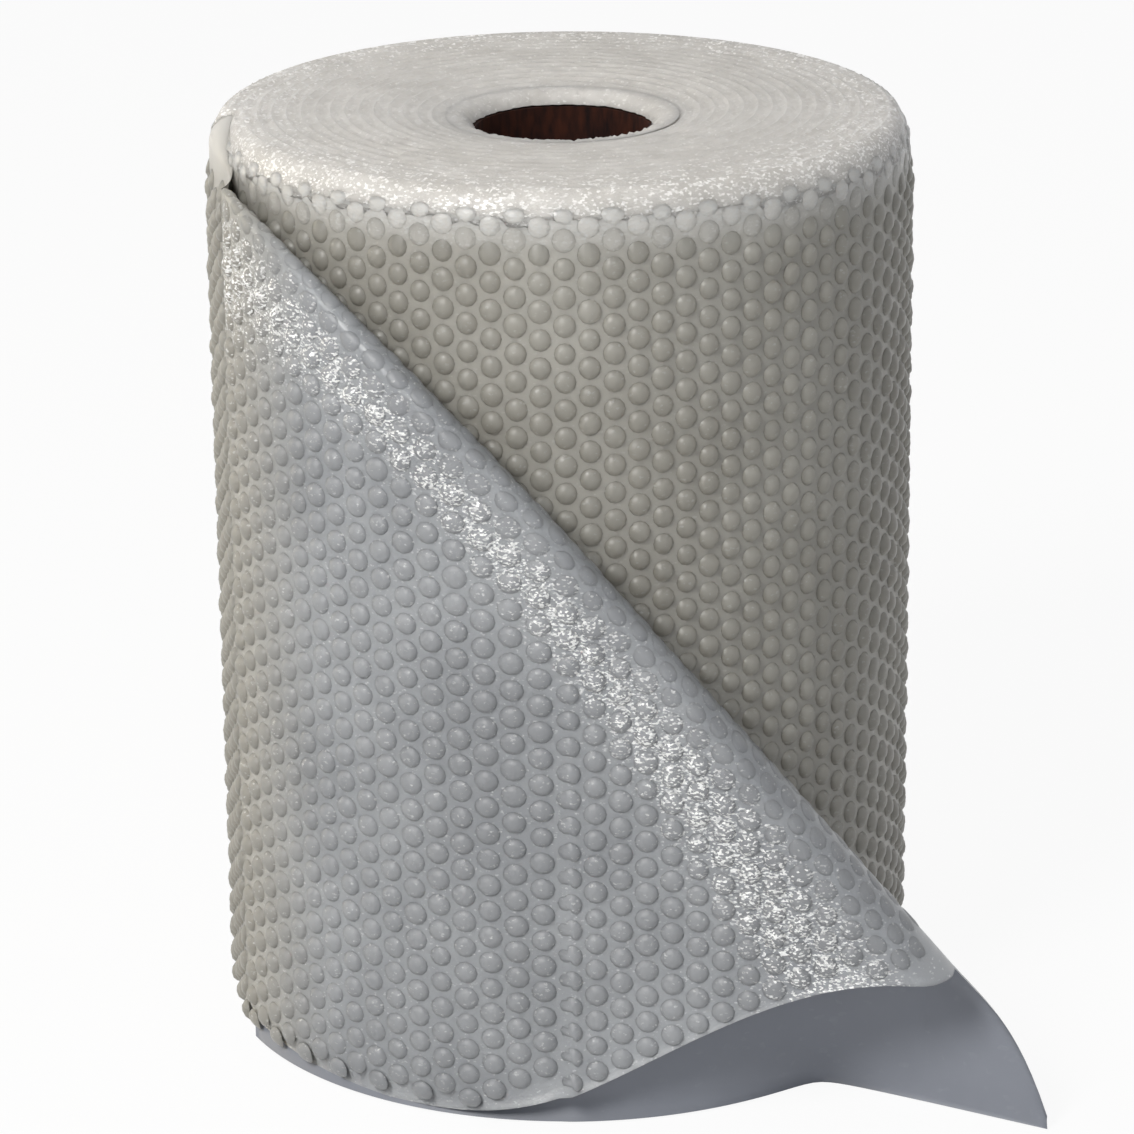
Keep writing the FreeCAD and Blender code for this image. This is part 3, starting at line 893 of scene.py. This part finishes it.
def foldedPlace(along, up):
    # where a place of the flat sheet comes to lie once the sheet is folded
    parts = section(along)
    cosine, sine = creaseSlope(along)
    over = np.maximum(up - parts["centre"], 0)
    foot = along - over * cosine * sine
    atFoot = section(foot)
    across = over * cosine
    half = math.pi * atFoot["bend"] * np.sqrt((1 + cosine ** 2) / 2)
    turn = -90 + 180 * np.clip(across / half, 0, 1)
    beyond = np.maximum(across - half, 0)
    layer = np.where(up <= parts["centre"], 0, np.where(across > half, 2, 1))
    place = np.where(layer == 0, along, foot + atFoot["bend"] * np.cos(np.radians(turn)) * cosine * sine)
    place = np.where(layer == 2, foot - beyond * sine, place)
    height = np.where(layer == 0, up, np.where(layer == 1, turn, atFoot["centre"] - beyond * cosine))
    return layer, place, height, section(place)


spare = {
    "start": 0.004,
    "foot": 0.006,
    "top": 0.002,
    "rim": 0.0008,         # between a bubble and an edge of the sheet
    "tip": 0.012,
    "foldTurn": 14,        # degrees between the hem and the first bubbles on the fold
    "pastTip": 0.25,       # how far past the tip places of the flat sheet are tried
}


def makeLooseBubbles():
    places = lattice(-hugLength + spare["start"], loose["tipReach"] + spare["pastTip"],
                     spare["foot"], rollHeight - spare["top"])
    layer, place, height, parts = foldedPlace(places[:, 0], places[:, 1])
    margin = bubble["radius"] + spare["rim"]
    opened = (parts["startTurn"] > loose["noFront"]) & (height < parts["startTurn"] + spare["foldTurn"])
    keep = (place > -hugLength + margin) & (place < loose["tipReach"] - spare["tip"])
    keep &= ~((layer == 0) & (height < parts["low"] + margin))
    keep &= ~((layer < 2) & (place > wrapEdge - margin))
    keep &= ~((layer == 1) & opened)
    keep &= ~((layer == 2) & (height < loose["floorGap"] + margin))
    crinkle = crinkleAt(place, belowCrease(parts, layer, height, places[:, 0]))

    def surface(along, up, rise):
        # bubbles are pressed flat on the fold, right under it and at the foot
        spot, _, level, bits = foldedPlace(along, up)
        pressed = (smoothShare((bits["centre"] - level) / loose["pressedTop"])
                   * smoothShare((level - loose["pressedFrom"]) / loose["pressedFoot"]))
        pressed = np.where(spot == 0, pressed, spot // 2)
        flatter = loose["pressedLeast"] + (1 - loose["pressedLeast"]) * pressed
        return onSheet(bits, spot, level, flatter * rise + loose["filmDepth"] + loose["film"] / 2)

    bubblePiece("loose_end_bubbles", places[keep], surface, looseBubbles, loose["seed"],
                crinkle[keep], warmAt(place)[keep])


lifted = {
    "start": -0.001,         # takes in the first column of bubbles
    "before": -0.2,          # how far those reach back, as a share of the stretch
    "topGap": 0.004,         # under the fold's start, like the next two
    "leanFrom": 0.026,
    "leanFade": 0.024,
    "leanEnd": 6,            # the higher, the later the film stands upright again
    "bubbleFoot": 0.005,
    "bubbleTop": 0.01,
    "columns": 24,
    "seed": 8,
}


def liftedSurface(along, up, rise):
    # the outermost turn's last stretch, from the -X side to where the fold starts: it leaves
    # the wound turn's shape and takes the fold's
    share = np.clip(along / liftLength, lifted["before"], 1)
    level = np.clip(up, loose["rimStart"], loose["foldTop"] - lifted["topGap"])
    reach = layerRadius(loose["foldStart"]) + 2 * tightBend
    endRadius = roll["radius"] - roll["sheet"] / 2
    angle = -math.pi + liftLength / roll["radius"] * share
    radius = endRadius + (reach - endRadius) * share ** 2 + loose["filmDepth"] + rise
    lean = smoothShare((level - loose["foldTop"] + lifted["leanFrom"]) / lifted["leanFade"])
    lean = lean * (1 - np.clip(share, 0, 1) ** lifted["leanEnd"])
    under = rollRadius(angle) - bubble["height"]
    radius = radius - (radius - under) * lean
    radius = radius - tuckAt(level)
    loosened = np.stack([radius * np.cos(angle), radius * np.sin(angle), level], axis=-1)
    wound = rollSurface(2 * math.pi * roll["radius"] + along, up, rise)
    return wound + (loosened - wound) * smoothShare(share)[..., None]


def makeLiftedTurn():
    columns = lifted["columns"]
    levels = outerLevels()
    along, up = np.meshgrid(np.linspace(0, liftLength, columns), levels)
    points = liftedSurface(along, up, np.zeros(along.shape))
    crinkle = crinkleAt(along - liftLength - hugLength, loose["foldTop"] - up) * along / liftLength
    frost = frostAt(points[..., 2]) * (1 - along / liftLength)
    wrapPiece("lifted_turn_film", points, gridFaces(len(levels), columns), rollFilm, crinkle, frost)
    places = lattice(lifted["start"], liftLength, loose["rimStart"] + lifted["bubbleFoot"],
                     loose["foldTop"] - lifted["bubbleTop"])
    bubblePiece("lifted_turn_bubbles", places, liftedSurface, rollBubbles, lifted["seed"])


print("camera, lamps and floor")
bpy.context.scene.view_settings.view_transform = "Standard"
makeCamera()
for lampName, lampLook in lamps.items():
    makeLamp(lampName, lampLook)
makeWorld()
makeFloor()

print("outermost turn")
makeOuterTurn()

print("ends of the turns")
makeEnd("upper_ends", True, {
    "step": 0.0016, "across": 9, "depth": 0.0006, "ragged": 0.0003, "seed": 3, "crinkle": 0.10,
    "rimCrinkle": 0.60, "finish": endFilm})
makeEnd("lower_ends", False, {
    "step": 0.0040, "across": 7, "depth": 0.0018, "ragged": 0.0004, "seed": 4, "crinkle": 0.2,
    "rimCrinkle": 0.1, "finish": rollFilm})
makeInnerLip()

print("loose end")
makeLooseFilm()
makeLooseBubbles()
makeLiftedTurn()

print("core tube")
for slot in bpy.data.objects["core_tube"].material_slots:
    slot.material = kraftBoardPaintedShade
